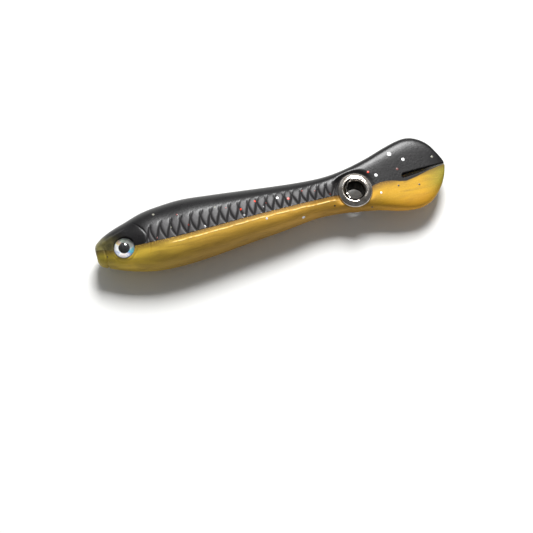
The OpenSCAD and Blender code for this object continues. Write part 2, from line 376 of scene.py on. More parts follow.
def shot_faces(index, side, hole):
    """Faces of a closed shot: its skin, the face along the parting, both ends, and the hole's wall."""
    last, half = index.shape[1] - 1, (index.shape[1] - 1) // 2
    faces, rim = [], []
    for i in range(index.shape[0] - 1):
        a, b = index[i], index[i + 1]
        faces += [(a[j], b[j], b[j + 1], a[j + 1]) for j in range(last) if not hole[i, j]]
        if not hole[i, 0]:
            faces.append((a[0], a[last], b[last], b[0]))
    for end, order in ((index[0], 1), (index[-1], -1)):
        for j in range(half):
            ring = (end[j], end[j + 1], end[last - j - 1], end[last - j])
            ring = ring if j < half - 1 else (end[j], end[j + 1], end[last - j])
            faces.append(ring[::order])
    for i, j in zip(*np.nonzero(hole[:, :half])):
        for di, dj, p, q in (
            (-1, 0, (i, j), (i, j + 1)), (1, 0, (i + 1, j + 1), (i + 1, j)),
            (0, -1, (i + 1, j), (i, j)), (0, 1, (i, j + 1), (i + 1, j + 1)),
        ):
            if j + dj >= 0 and not hole[i + di, j + dj]:
                p_back, q_back = index[p[0], last - p[1]], index[q[0], last - q[1]]
                faces.append((index[q], index[p], p_back, q_back))
                rim += [p, q]
    return [f[::side] for f in faces], rim


def pour_shot(name, side, start, end, half_steps, relief, material):
    """One length of a shot as a closed mesh. Its points keep their rest place for the materials."""
    close, share, open_steps = half_steps
    shares = np.concatenate([np.linspace(0, share, close + 1), np.linspace(share, 1, open_steps + 1)[1:]])
    xs = stations(start, end)
    half, rise = half_rings(xs, side, shares)
    lift, cut, painted_scale_sheen = relief(half[..., 0], half[..., 1], rise)
    half = half + normals(xs, side, shares) * lift[..., None]
    half[:, -1, 2] = 0
    points = np.concatenate([half, half[:, -2::-1] * (1, 1, -1)], axis=1)
    both_sides = [np.concatenate([v, v[:, -2::-1]], axis=1).ravel() for v in (rise, cut, painted_scale_sheen)]
    press_in(points)
    middles = (points[:-1, :-1] + points[1:, 1:]) / 2
    hole = np.hypot(middles[..., 0] - EYELET[0], middles[..., 1] - EYELET[1]) < HOLE_R
    index = np.arange(points.shape[0] * points.shape[1]).reshape(points.shape[:2])
    faces, rim = shot_faces(index, side, hole)
    if rim:
        chosen = np.zeros(points.shape[:2], bool)
        for i, j in rim:
            chosen[i, j] = chosen[i, points.shape[1] - 1 - j] = True
        move_to_circle(points, chosen, EYELET, HOLE_R + SEATED)
    used = np.unique([v for f in faces for v in f])
    renumber = np.full(index.size, -1)
    renumber[used] = np.arange(len(used))
    rest = points.reshape(-1, 3)[used]
    mesh = bpy.data.meshes.new(name)
    mesh.from_pydata(to_frame(rest), [], [[int(renumber[v]) for v in f] for f in faces])
    mesh.shade_smooth()
    mesh.attributes.new("rest_mm", "FLOAT_VECTOR", "POINT").data.foreach_set("vector", rest.ravel())
    # Of these, cut masks shade painted into the lines of the black shot's net and a highlight painted on the
    # gold shot's bead, and the last masks a grey sheen painted on the black shot's scales
    for label, values in zip(("rise_mm", "cut", "painted_scale_sheen"), both_sides):
        mesh.attributes.new(label, "FLOAT", "POINT").data.foreach_set("value", values[used])
    under = rest[:, 1] - np.interp(rest[:, 0], *np.array(OVERLAP_LINE).T)
    over = ease(under, -0.12, 0.12) * (rest[:, 0] > OVERLAP_LINE[0][0])
    mesh.attributes.new("black_over", "FLOAT", "POINT").data.foreach_set("value", over)
    ends = np.zeros(len(mesh.edges) * 2, int)
    mesh.edges.foreach_get("vertices", ends)
    ends = ends.reshape(-1, 2)
    column = np.repeat(np.arange(points.shape[0]), points.shape[1])[used]
    row = np.tile(np.arange(points.shape[1]), points.shape[0])[used]
    on_parting = ((row == 0) | (row == points.shape[1] - 1)) & (rest[:, 0] <= SLOT_X)
    crisp = on_parting[ends].all(axis=1)
    for at, x in ((0, start), (len(xs) - 1, end)):
        if 0 < x < TIP_X:
            crisp |= (column[ends] == at).all(axis=1)
    mesh.attributes.new("sharp_edge", "BOOLEAN", "EDGE").data.foreach_set("value", crisp)
    piece = bpy.data.objects.new(name, mesh)
    bpy.context.scene.collection.objects.link(piece)
    mesh.materials.append(material)
    return piece


# Grain of the plastisols, in millimetres
PEEL_GRAIN, MOTTLE_GRAIN, PEARL_GRAIN = 0.6, 2.8, 0.3
STREAK_WIDTH, STREAK_STRETCH = 1.4, (0.17, 1, 1)


def linear(hex_colour):
    """An sRGB hex colour as linear RGBA."""
    channels = [int(hex_colour[i:i + 2], 16) / 255 for i in (1, 3, 5)]
    return [c / 12.92 if c <= 0.04045 else ((c + 0.055) / 1.055) ** 2.4 for c in channels] + [1]


def node(tree, kind, links=None, stops=(), **settings):
    """Adds a node to a material: its settings, a ramp's stops (place, hex colour), and its inputs, each a
    value or another node's output."""
    made = tree.nodes.new("ShaderNode" + kind)
    for name, value in settings.items():
        setattr(made, name, value)
    for i, (place, colour) in enumerate(stops):
        elements = made.color_ramp.elements
        element = elements[i] if i < 2 else elements.new(place)
        element.position, element.color = place, linear(colour)
    for name, value in (links or {}).items():
        if isinstance(value, bpy.types.NodeSocket):
            tree.links.new(value, made.inputs[name])
        else:
            made.inputs[name].default_value = value
    return made


def new_finish(name):
    """An empty material and its node tree, with the surface shader already wired to the output."""
    material = bpy.data.materials.new(name)
    material.use_nodes = True
    tree = material.node_tree
    shader = tree.nodes["Principled BSDF"]
    return material, tree, shader


def black_plastisol():
    """Soft black PVC plastisol, straight from the mould: satin, with a faint orange-peel skin, and duller on
    the scales, where the mould was engraved. A grey sheen is painted on the scales, and shade is painted
    near-black in the lines between them. It thins to olive on the flanks of the snout, and the wall of the
    tail slot is painted olive."""
    material, tree, shader = new_finish("moulded_black_plastisol")
    rest = node(tree, "Attribute", attribute_name="rest_mm").outputs["Vector"]
    place = node(tree, "SeparateXYZ", {"Vector": rest}).outputs
    rise = node(tree, "Attribute", attribute_name="rise_mm").outputs["Fac"]
    # A grey sheen is painted on the scales of the net
    painted_scale_sheen = node(tree, "Attribute", attribute_name="painted_scale_sheen").outputs["Fac"]
    # Shade is painted near-black in the lines of the net
    cut = node(tree, "Attribute", attribute_name="cut").outputs["Fac"]
    peel = node(tree, "TexNoise", {"Vector": rest, "Scale": 1 / PEEL_GRAIN, "Detail": 3}).outputs["Fac"]
    mottle = node(tree, "TexNoise", {"Vector": rest, "Scale": 1 / MOTTLE_GRAIN, "Detail": 4}).outputs["Fac"]
    depth = node(tree, "Math", {0: place["Z"]}, operation="ABSOLUTE").outputs["Value"]
    # Where the olive shows: at the nose, patchily and low on the flank, and inside the slot's wall
    snout = node(
        tree, "MapRange",
        {"Value": place["X"], "From Min": 9.5, "From Max": 0.5},
        interpolation_type="SMOOTHSTEP"
    ).outputs["Result"]
    patchy = node(tree, "MapRange", {"Value": mottle, "From Min": 0.2, "From Max": 0.6}).outputs["Result"]
    flank = node(tree, "MapRange", {"Value": rise, "From Min": 5.5, "From Max": 2.2}).outputs["Result"]
    # The wall of the tail slot is painted olive
    wall = node(tree, "MapRange", {"Value": rise, "From Min": 0.08, "From Max": 0.02}).outputs["Result"]
    behind = node(
        tree, "MapRange", {"Value": place["X"], "From Min": 91.2, "From Max": 92.2}
    ).outputs["Result"]
    within = node(tree, "MapRange", {"Value": depth, "From Min": 1.1, "From Max": 0.7}).outputs["Result"]
    olive = []
    for first, second, third in ((snout, patchy, flank), (wall, behind, within)):
        both = node(tree, "Math", {0: first, 1: second}, operation="MULTIPLY").outputs["Value"]
        olive.append(node(tree, "Math", {0: both, 1: third}, operation="MULTIPLY").outputs["Value"])
    base = node(tree, "ValToRGB", {"Fac": mottle}, [(0.3, "#0a0a0b"), (0.7, "#161415")]).outputs["Color"]
    for strength, colour in (
        (olive[0], "#80794a"), (olive[1], "#6b6130"), (painted_scale_sheen, "#3a3839"), (cut, "#060606"),
    ):
        base = node(tree, "Mix", {0: strength, 6: base, 7: linear(colour)}, data_type="RGBA").outputs[2]
    tree.links.new(base, shader.inputs["Base Color"])
    rough = node(tree, "MapRange", {"Value": peel, "To Min": 0.24, "To Max": 0.34}).outputs["Result"]
    for mask, duller in ((painted_scale_sheen, 0.14), (cut, 0.3)):
        rough = node(tree, "Math", {0: mask, 1: duller, 2: rough}, operation="MULTIPLY_ADD").outputs["Value"]
    tree.links.new(rough, shader.inputs["Roughness"])
    bump = node(tree, "Bump", {"Height": peel, "Strength": 0.25, "Distance": 0.00008})
    tree.links.new(bump.outputs["Normal"], shader.inputs["Normal"])
    shader.inputs["IOR"].default_value = 1.37
    return material


def pearl_gold_plastisol():
    """Soft PVC plastisol with gold pearl powder, which settles in long streaks as it is poured: a broad
    soft sheen, olive at the head and bright at the thin tail. Black lies over it below the slot. Light and
    shade
    are painted into its colour too: a highlight on the bead, shade on the low belly, light on the tail's
    lower rim, and a band below the seam that is browner where the shots blend and painted darker as shade."""
    material, tree, shader = new_finish("moulded_pearl_gold_plastisol")
    rest = node(tree, "Attribute", attribute_name="rest_mm").outputs["Vector"]
    x = node(tree, "SeparateXYZ", {"Vector": rest}).outputs["X"]
    rise = node(tree, "Attribute", attribute_name="rise_mm").outputs["Fac"]
    # The bead's crest, kept in the cut attribute, masks a highlight painted lighter on the bead
    bead_painted_highlight = node(tree, "Attribute", attribute_name="cut").outputs["Fac"]
    over = node(tree, "Attribute", attribute_name="black_over").outputs["Fac"]
    streak = node(tree, "Mapping", {"Vector": rest, "Scale": STREAK_STRETCH}).outputs["Vector"]
    flow = node(
        tree, "TexNoise", {"Vector": streak, "Scale": 1 / STREAK_WIDTH, "Detail": 4, "Distortion": 0.6}
    ).outputs["Fac"]
    pearl = node(tree, "TexNoise", {"Vector": rest, "Scale": 1 / PEARL_GRAIN, "Detail": 2}).outputs["Fac"]
    along = node(tree, "Math", {0: x, 1: TIP_X}, operation="DIVIDE").outputs["Value"]
    base = node(tree, "ValToRGB", {"Fac": along}, [
        (0.0, "#b3a640"), (0.035, "#c0a93a"), (0.09, "#f2cf4a"), (0.16, "#dab743"), (0.3, "#cfa440"),
        (0.6, "#d8a53e"), (0.72, "#bf8c2c"), (0.8, "#bf921c"), (0.92, "#c3961c"), (0.96, "#9f8922"),
        (1.0, "#7f8126"),
    ]).outputs["Color"]
    # Where each tint lies, as a range of what it follows and the most that it covers there
    streaks, grains, near, ragged, low, trunk, edge, paddle, snout, thin = (
        node(tree, "MapRange", {"Value": follows, "From Min": start, "From Max": end, "To Max": most})
        .outputs["Result"]
        for follows, start, end, most in (
            (flow, 0.42, 0.7, 0.4), (pearl, 0.45, 0.75, 0.2), (rise, 1.9, 0.2, 0.9), (pearl, 0.15, 0.5, 1),
            (rise, 2.5, 8, 0.5), (x, 84, 74, 1), (rise, 5, 9, 0.5), (x, 76, 86, 1), (x, 9, 2, 0.8),
            (rise, 2.6, 0.1, 1),
        )
    )
    # The band below the seam is browner where the shots blend, and painted darker as shade over the highlight
    # there
    seam_blend_and_shade, belly, rim, lip = (
        node(tree, "Math", {0: first, 1: second}, operation="MULTIPLY").outputs["Value"]
        for first, second in ((near, ragged), (low, trunk), (edge, paddle), (thin, snout))
    )
    # Painted shade darkens the low belly of the trunk
    for strength, colour in (
        (streaks, "#7c5f26"), (grains, "#f0c659"), (seam_blend_and_shade, "#5a3e18"), (bead_painted_highlight, "#f2d68c"),
        # Painted light brightens the lower rim of the tail
        (belly, "#6d5118"), (rim, "#eaa630"), (lip, "#4f4826"), (over, "#161415"),
    ):
        base = node(tree, "Mix", {0: strength, 6: base, 7: linear(colour)}, data_type="RGBA").outputs[2]
    tree.links.new(base, shader.inputs["Base Color"])
    sheen = node(tree, "MapRange", {"Value": pearl, "To Min": 0.5, "To Max": 0.62}).outputs["Result"]
    tree.links.new(sheen, shader.inputs["Roughness"])
    bump = node(tree, "Bump", {"Height": pearl, "Strength": 0.2, "Distance": 0.00008})
    tree.links.new(bump.outputs["Normal"], shader.inputs["Normal"])
    shader.inputs["Metallic"].default_value = 0.25
    shader.inputs["IOR"].default_value = 1.4
    return material


# Steps near the seam, the share of the half ring that they cover, and steps over the rest
BACK_STEPS = (64, 0.62, 14)
BELLY_STEPS = (28, 0.3, 24)
black, gold = black_plastisol(), pearl_gold_plastisol()
back_front = pour_shot("black_shot_front", 1, 0, HEAD_END, BACK_STEPS, back_relief, black)
belly_front = pour_shot("gold_shot_front", -1, 0, HEAD_END, BELLY_STEPS, belly_relief, gold)
back_tail = pour_shot("black_shot_tail", 1, HEAD_END, TAIL_END, BACK_STEPS, back_relief, black)
belly_tail = pour_shot("gold_shot_tail", -1, HEAD_END, TAIL_END, BELLY_STEPS, belly_relief, gold)
back_lobe = pour_shot("black_shot_lobe", 1, TAIL_END, TIP_X, BACK_STEPS, back_relief, black)
belly_lobe = pour_shot("gold_shot_lobe", -1, TAIL_END, TIP_X, BELLY_STEPS, belly_relief, gold)

BEND, KICK, FLUTTER = (30, 52), (59, 71), (91, 98)      # where each joint bends the skin


def flex(piece, body, next_body, between):
    """Bakes a soft piece's placement into its points."""
    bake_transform(piece)


for piece, body, next_body, between, nodes, finish in (
    (back_front, "head", "mid", BEND, ("head_back", "mid_back"), "black_plastisol"),
    (belly_front, "head", "mid", BEND, ("head_belly", "mid_belly"), "gold_plastisol"),
    (back_tail, "mid", "tail", KICK, ("tail_back",), "black_plastisol"),
    (belly_tail, "mid", "tail", KICK, ("tail_belly",), "gold_plastisol"),
    (back_lobe, "tail", "upper_lobe", FLUTTER, ("upper_lobe",), "black_plastisol"),
    (belly_lobe, "tail", "lower_lobe", FLUTTER, ("lower_lobe",), "gold_plastisol"),
):
    flex(piece, body, next_body, between)
    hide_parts(*nodes)

# ---------------------------------------------------------------------------------------------
# Glitter. Hexagonal flakes cut from coated polyester film are stirred into the plastisol. They lie
# at random, and the few that reach the skin lie flush in it. Deep ones show through it dimly.
FLAKE_THICK, FLAKE_PROUD = 0.06, 0.03
HAZE_GRAIN = 0.4            # plastisol smeared thinly over a flake
# Place on the left flank, from the nose and up the fish, and width across, in millimetres
SILVER_FLAKES = [
    (32, -1.5, 0.8), (43.5, -1, 0.7), (49.5, 0.2, 0.5), (54, 2, 0.8), (83.5, 2, 1.0), (89, 7.5, 1.3),
    (92.5, 5, 1.0), (60, -5, 1.0), (49.5, -3.5, 0.7), (83.5, -3.5, 0.7),
]
DIM_FLAKES = [(101, 4, 0.8), (18.5, 6, 0.8), (36, 3.5, 0.5), (22.5, 0.6, 0.5)]
RED_FLAKES = [(43, 1, 0.7), (47.5, 2.5, 0.7), (57, 1, 0.8), (81.5, 3.5, 0.7)]
SUNK_RED_FLAKES = [
    (90, 2.5, 0.8), (39, 2.5, 0.6), (27.5, 0, 0.7), (61.5, 2.5, 0.7), (69, -0.5, 0.7), (18, -1.5, 0.7),
    (50.5, 1.2, 0.5), (25, 4, 0.6), (65, 1.5, 0.5),
]
DARK_FLAKES = [(2.6, -2.6, 0.5), (69.5, -4, 0.6), (80, -6.6, 0.6), (89, -2.5, 0.6), (95, -3.5, 0.6)]
ZONES = {
    "front": (back_front, belly_front), "tail": (back_tail, belly_tail),
    "upper_lobe": (back_lobe,), "lower_lobe": (belly_lobe,),
}
ZONE_FLEX = {
    "front": ("head", "mid", BEND), "tail": ("mid", "tail", KICK),
    "upper_lobe": ("tail", "upper_lobe", FLUTTER), "lower_lobe": ("tail", "lower_lobe", FLUTTER),
}


def new_piece(name, points, faces, material):
    """A closed mesh from points in metres, with smooth faces and crisp corners."""
    mesh = bpy.data.meshes.new(name)
    mesh.from_pydata([tuple(p) for p in points], [], faces)
    mesh.shade_smooth()
    mesh.set_sharp_from_angle(angle=math.radians(38))
    mesh.materials.append(material)
    piece = bpy.data.objects.new(name, mesh)
    bpy.context.scene.collection.objects.link(piece)
    return piece


skins = {
    zone: [BVHTree.FromPolygons([v.co for v in s.data.vertices], [p.vertices for p in s.data.polygons])
           for s in shots]
    for zone, shots in ZONES.items()
}


def on_skin(x, y, flank):
    """The zone, place and outward direction of the skin at a place on one flank."""
    start = Vector(to_frame((x, y, 20 * flank)))
    for zone, trees in skins.items():
        for tree in trees:
            place, direction, _, _ = tree.ray_cast(start, Vector((0, 0, -flank)))
            if place is not None:
                return zone, place, direction
    return None


def flake(place, out, width, turn):
    """Points and faces of one hexagonal flake that lies flush in the skin."""
    across = out.orthogonal().normalized()
    side = out.cross(across)
    rings = ((width / 2, -FLAKE_THICK), (width / 2, FLAKE_PROUD / 2), (width / 2 * 0.85, FLAKE_PROUD))
    turns = [turn + k * math.pi / 3 for k in range(6)]
    spokes = [across * math.cos(angle) + side * math.sin(angle) for angle in turns]
    points = [place + MM * (r * spoke + out * h) for r, h in rings for spoke in spokes]
    faces = []
    for low in (0, 6):
        faces += [(low + k, low + (k + 1) % 6, low + 6 + (k + 1) % 6, low + 6 + k) for k in range(6)]
    return points, faces + [tuple(range(5, -1, -1)), tuple(range(12, 18))]


def glitter_film(name, colour, metallic):
    """Polyester film with a metal or colour coat: a bright flat glint in the plastisol."""
    material, tree, shader = new_finish(name)
    place = node(tree, "TexCoord").outputs["Object"]
    haze = node(tree, "TexNoise", {"Vector": place, "Scale": 1 / (HAZE_GRAIN * MM)}).outputs["Fac"]
    share = node(
        tree, "MapRange", {"Value": haze, "From Min": 0.35, "From Max": 0.7, "To Max": 0.4}
    ).outputs["Result"]
    base = node(
        tree, "Mix", {0: share, 6: linear(colour), 7: linear("#50493f")}, data_type="RGBA"
    ).outputs[2]
    tree.links.new(base, shader.inputs["Base Color"])
    shader.inputs["Metallic"].default_value = metallic
    shader.inputs["Roughness"].default_value = 0.35
    return material


def scatter(kind, flakes, material):
    """Lays a list of flakes on the left flank and as many on the right one, as one piece per zone."""
    draw = np.random.default_rng(len(kind) * 7)
    heaps = {zone: ([], []) for zone in ZONES}
    both = [(x, y, w, 1) for x, y, w in flakes]
    both += [(x + draw.uniform(-4, 4), y + draw.uniform(-2, 2), w, -1) for x, y, w in flakes]
    for x, y, width, flank in both:
        found = on_skin(min(max(x, 3), 101), y, flank)
        if found:
            zone, place, out = found
            points, faces = flake(place, out, width, draw.uniform(0, 1))
            base = len(heaps[zone][0])
            heaps[zone][0].extend(points)
            heaps[zone][1].extend([tuple(base + v for v in f) for f in faces])
    for zone, (points, faces) in heaps.items():
        if points:
            flex(new_piece(f"{kind}_{zone}", points, faces, material), *ZONE_FLEX[zone])


scatter("silver_glitter", SILVER_FLAKES, glitter_film("silver_coated_film", "#ffffff", 0.2))
scatter("dim_silver_glitter", DIM_FLAKES, glitter_film("silver_film_under_plastisol", "#8d8c80", 0.2))
scatter("red_glitter", RED_FLAKES, glitter_film("orange_red_film", "#ff4a2c", 0.0))
scatter("sunk_red_glitter", SUNK_RED_FLAKES, glitter_film("red_film_under_plastisol", "#7d322d", 0.0))
scatter("dark_glitter", DARK_FLAKES, glitter_film("bronze_film", "#2c2812", 0.0))

# ---------------------------------------------------------------------------------------------
# The eyes. Each is a sticker for lures: a foam pad, a pressed holographic foil with a black pupil
# printed on it, and a clear dome of poured resin. It is pushed into the socket and glued there.
PUPIL_R = 1.48              # printed smaller than it looks, because the dome magnifies it
FOIL_RAYS = 40
FOIL_PATCH, SCREEN_MESH, RESIN_FLOW, FOAM_CELL = 1.1, 0.16, 1.6, 0.12


def turned(name, outline, centre, up, material, steps=120):
    """A piece of revolution about an axis across the fish. Its outline is (radius, height) points from
    the underside outwards and back; a radius or a height may be an array that varies round the axis."""
    angle = np.arange(steps) * 2 * math.pi / steps
    points, rings = [], []
    for r, z in outline:
        if np.ndim(r) == 0 and r == 0:
            ring = np.array([[0, 0, float(z)]])
        else:
            ring = np.stack([r * np.cos(angle), r * np.sin(angle), z + 0 * angle], axis=1)
        rings.append(range(len(points), len(points) + len(ring)))
        points += ring.tolist()
    faces = []
    pairs = list(zip(rings, rings[1:]))
    pairs += [] if len(rings[0]) == 1 else [(rings[-1], rings[0])]
    for a, b in pairs:
        for k in range(steps):
            n = (k + 1) % steps
            if len(a) == 1:
                face = (a[0], b[n], b[k])
            elif len(b) == 1:
                face = (a[k], a[n], b[0])
            else:
                face = (a[k], a[n], b[n], b[k])
            faces.append(face[::up])
    local = np.array(points) * (1, 1, up)
    piece = new_piece(name, local * MM + np.array(centre), faces, material)
    piece.data.attributes.new("turned_mm", "FLOAT_VECTOR", "POINT").data.foreach_set("vector", local.ravel())
    return piece


def holographic_foil():
    """Polyester film pressed with a diffraction grating over aluminium: silvery white, with faint
    cyan, pink and yellow patches that change round the ring, and a grey edge painted on as the dark
    reflection in the dome's steep edge."""
    material, tree, shader = new_finish("pressed_holographic_foil")
    place = node(tree, "Attribute", attribute_name="turned_mm").outputs["Vector"]
    wobble = node(tree, "TexNoise", {"Vector": place, "Scale": 1 / FOIL_PATCH, "Detail": 2}).outputs["Fac"]
    turn = node(tree, "TexGradient", {"Vector": place}, gradient_type="RADIAL").outputs["Fac"]
    drift = node(tree, "MapRange", {"Value": wobble, "To Min": -0.12, "To Max": 0.12}).outputs["Result"]
    turn = node(tree, "Math", {0: turn, 1: drift}, operation="ADD").outputs["Value"]
    hues = node(tree, "ValToRGB", {"Fac": turn}, [
        (0.0, "#ffffff"), (0.05, "#c3d0ea"), (0.1, "#ffffff"), (0.2, "#fff1ef"), (0.28, "#ffffff"),
        (0.32, "#cdbff5"), (0.37, "#58d6f6"), (0.44, "#86e4f6"), (0.49, "#f2f6f6"), (0.57, "#b9bcb6"),
        (0.68, "#a9b0a6"), (0.77, "#c6d2c2"), (0.82, "#f3d3cc"), (0.86, "#fbe27f"), (0.91, "#ffffff"),
        (1.0, "#ffffff"),
    ]).outputs["Color"]
    reach = node(tree, "VectorMath", {0: place}, operation="LENGTH").outputs["Value"]
    # A grey rim is painted round the foil's edge: the dark reflection in the dome's steep edge
    edge = node(
        tree, "MapRange", {"Value": reach, "From Min": EYE_R - 0.4, "From Max": EYE_R - 0.1}
    ).outputs["Result"]
    base = node(tree, "Mix", {0: edge, 6: hues, 7: linear("#8b8c90")}, data_type="RGBA").outputs[2]
    tree.links.new(base, shader.inputs["Base Color"])
    shader.inputs["Metallic"].default_value = 0.85
    shader.inputs["Roughness"].default_value = 0.5
    return material


def printed_black():
    """Screen-printed black ink on the foil: dense and slightly glossy."""
    material, tree, shader = new_finish("screen_printed_black")
    place = node(tree, "Attribute", attribute_name="turned_mm").outputs["Vector"]
    screen = node(tree, "TexNoise", {"Vector": place, "Scale": 1 / SCREEN_MESH}).outputs["Fac"]
    base = node(tree, "ValToRGB", {"Fac": screen}, [(0.3, "#020202"), (0.8, "#0b0a09")]).outputs["Color"]
    tree.links.new(base, shader.inputs["Base Color"])
    shader.inputs["Roughness"].default_value = 0.25
    return material


def resin_dome():
    """Clear poured polyurethane resin: glassy, and it bends what lies under its steep edge."""
    material, tree, shader = new_finish("poured_clear_resin")
    place = node(tree, "Attribute", attribute_name="turned_mm").outputs["Vector"]
    flow = node(tree, "TexNoise", {"Vector": place, "Scale": 1 / RESIN_FLOW}).outputs["Fac"]
    polish = node(tree, "MapRange", {"Value": flow, "To Max": 0.03}).outputs["Result"]
    tree.links.new(polish, shader.inputs["Roughness"])
    shader.inputs["Base Color"].default_value = linear("#fdfeff")
    shader.inputs["Transmission Weight"].default_value = 1.0
    shader.inputs["IOR"].default_value = 1.5
    return material


def foam_pad():
    """White acrylic foam tape behind the foil: matt, with fine open cells."""
    material, tree, shader = new_finish("white_foam_tape")
    place = node(tree, "TexCoord").outputs["Object"]
    cells = node(tree, "TexVoronoi", {"Vector": place, "Scale": 1 / (FOAM_CELL * MM)}).outputs["Distance"]
    base = node(tree, "ValToRGB", {"Fac": cells}, [(0.0, "#cfcfca"), (0.6, "#f2f2ee")]).outputs["Color"]
    tree.links.new(base, shader.inputs["Base Color"])
    shader.inputs["Roughness"].default_value = 0.85
    return material


foil, ink, resin, foam = holographic_foil(), printed_black(), resin_dome(), foam_pad()
rays = 0.012 * np.sin(np.arange(240) * 2 * math.pi / 240 * FOIL_RAYS)
for flank, up in (("left", 1), ("right", -1)):
    low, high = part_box(f"eye_iris_{flank}")
    thick = (high.z - low.z) / MM
    middle = (low + high) / 2
    seat = Vector((middle.x, middle.y, low.z if up > 0 else high.z))
    iris = turned(
        f"iris_foil_{flank}",
        [(0, 0), (EYE_R - 0.06, 0), (EYE_R - 0.02, 0.03), (EYE_R - 0.02, thick - 0.03), (EYE_R - 0.08, thick)]
        + [(r, thick - 0.012 + rays) for r in (2.7, 2.3, 1.9)] + [(PUPIL_R, thick - 0.01), (0, thick - 0.01)],
        seat, up, foil, steps=240,
    )
    top = seat + Vector((0, 0, up * thick * MM))
    pupil = turned(
        f"pupil_print_{flank}",
        [(0, 0), (PUPIL_R - 0.02, 0), (PUPIL_R, 0.02), (PUPIL_R, 0.04), (PUPIL_R - 0.04, 0.06), (0, 0.06)],
        top, up, ink,
    )
    dome_low, dome_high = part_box(f"eye_dome_{flank}")
    rise = (dome_high.z - dome_low.z) / MM
    ball = (EYE_R**2 + rise**2) / (2 * rise)
    lean = math.asin(EYE_R / ball)
    cap = [(ball * math.sin(t), rise - ball + ball * math.cos(t)) for t in np.linspace(lean * 0.97, 0, 28)]
    cap[-1] = (0, rise)
    dome = turned(
        f"clear_dome_{flank}",
        [(0, -0.03), (EYE_R - 0.12, -0.03), (EYE_R - 0.08, 0.01), (EYE_R - 0.02, 0.03)] + cap,
        top, up, resin,
    )
    pad = frame["nodes"][f"eye_pad_{flank}"]
    pad.data.materials.clear()
    pad.data.materials.append(foam)
    for piece, name, finish in (
        (iris, "eye_iris", "iris_foil"), (pupil, "eye_pupil", "pupil_print"), (dome, "eye_dome", "clear_dome")
    ):
        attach(piece, "head")
        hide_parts(f"{name}_{flank}")

# ---------------------------------------------------------------------------------------------
# The tail eyelet. A brass barrel with a flange is pushed through the tail root, a domed washer is laid
# over its end, and a setting tool splits the end and curls it over the washer. Both are nickel plated.
barrel_low, barrel_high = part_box("eyelet_barrel")
FLANGE_R = (barrel_high.x - barrel_low.x) / 2 / MM
BORE_R = next(m["dims"]["r_mm"] for m in frame["record"]["mounts"] if m["name"] == "eyelet_bore")
BARREL_WALL = 0.4
FLANGE_T = -to_cavity(barrel_low)[2] - SEAT_Z
WASHER_H = (washer_high.z - washer_low.z) / MM
WASHER_INNER_R = 3.35
SCRATCH_WIDTH, CLOUD_GRAIN = 0.12, 1.4
STEPS = 240
# The curled end, round the axis from the tail end: angle, how far it is curled over, and its height
CURL = [
    (0, 1, 0), (40, 0.95, 0), (46, 0.8, -0.2), (52, 1, 0), (90, 0.9, 0), (101, 0.85, -0.1), (107, 0.3, -0.5),
    (112, 0.35, 0.25), (127, 0.2, 0.1), (134, -0.1, 0.3), (142, -0.35, 0), (149, 0.1, 0.3), (162, -0.1, -0.1),
    (170, -0.45, 0.15), (180, -0.3, -0.3), (188, -0.1, 0.1), (200, -0.4, 0.25), (212, -0.15, -0.1),
    (224, 0.1, 0.2), (234, 0.2, -0.5), (240, 0.6, -0.1), (262, 0.85, 0.1), (271, 0.7, -0.4), (277, 1, 0.9),
    (328, 1, -0.45), (336, 1, 0), (360, 1, 0),
]


def nickel_plate():
    """Bright nickel plate over stamped brass: a warm grey mirror, hazed by fine handling scratches."""
    material, tree, shader = new_finish("bright_nickel_plate")
    place = node(tree, "Attribute", attribute_name="turned_mm").outputs["Vector"]
    flat = node(tree, "VectorMath", {0: place, 1: (1, 1, 0)}, operation="MULTIPLY").outputs["Vector"]
    reach = node(tree, "VectorMath", {0: flat}, operation="LENGTH").outputs["Value"]
    height = node(tree, "SeparateXYZ", {"Vector": place}).outputs["Z"]
    stretched = node(tree, "Mapping", {"Vector": place, "Scale": (0.1, 1, 0.2)}).outputs["Vector"]
    scratches = node(
        tree, "TexNoise", {"Vector": stretched, "Scale": 1 / SCRATCH_WIDTH, "Detail": 5}
    ).outputs["Fac"]
    clouds = node(tree, "TexNoise", {"Vector": place, "Scale": 1 / CLOUD_GRAIN, "Detail": 3}).outputs["Fac"]
    base = node(tree, "ValToRGB", {"Fac": clouds}, [(0.35, "#a39a90"), (0.65, "#d0cac4")]).outputs["Color"]
    narrow = node(tree, "MapRange", {"Value": reach, "From Min": 3.65, "From Max": 3.4}).outputs["Result"]
    deep = node(
        tree, "MapRange", {"Value": height, "From Min": SEAT_Z + 0.62, "From Max": SEAT_Z + 0.3}
    ).outputs["Result"]
    inner = node(
        tree, "MapRange", {"Value": height, "From Min": -SEAT_Z - 0.3, "From Max": -SEAT_Z + 0.1}
    ).outputs["Result"]
    # Shade is painted dark in the bore and in the gap under the curled lip
    painted_bore_shade = node(tree, "Math", {0: narrow, 1: deep}, operation="MULTIPLY").outputs["Value"]
    painted_bore_shade = node(tree, "Math", {0: painted_bore_shade, 1: inner}, operation="MULTIPLY").outputs["Value"]
    base = node(tree, "Mix", {0: painted_bore_shade, 6: base, 7: linear("#2a251d")}, data_type="RGBA").outputs[2]
    tree.links.new(base, shader.inputs["Base Color"])
    polish = node(
        tree, "MapRange",
        {"Value": scratches, "From Min": 0.3, "From Max": 0.7, "To Min": 0.12, "To Max": 0.24},
    ).outputs["Result"]
    rough = node(tree, "Math", {0: painted_bore_shade, 1: 0.4, 2: polish}, operation="MULTIPLY_ADD")
    tree.links.new(rough.outputs["Value"], shader.inputs["Roughness"])
    bump = node(tree, "Bump", {"Height": scratches, "Strength": 0.12, "Distance": 0.00003})
    tree.links.new(bump.outputs["Normal"], shader.inputs["Normal"])
    shader.inputs["Metallic"].default_value = 1.0
    return material


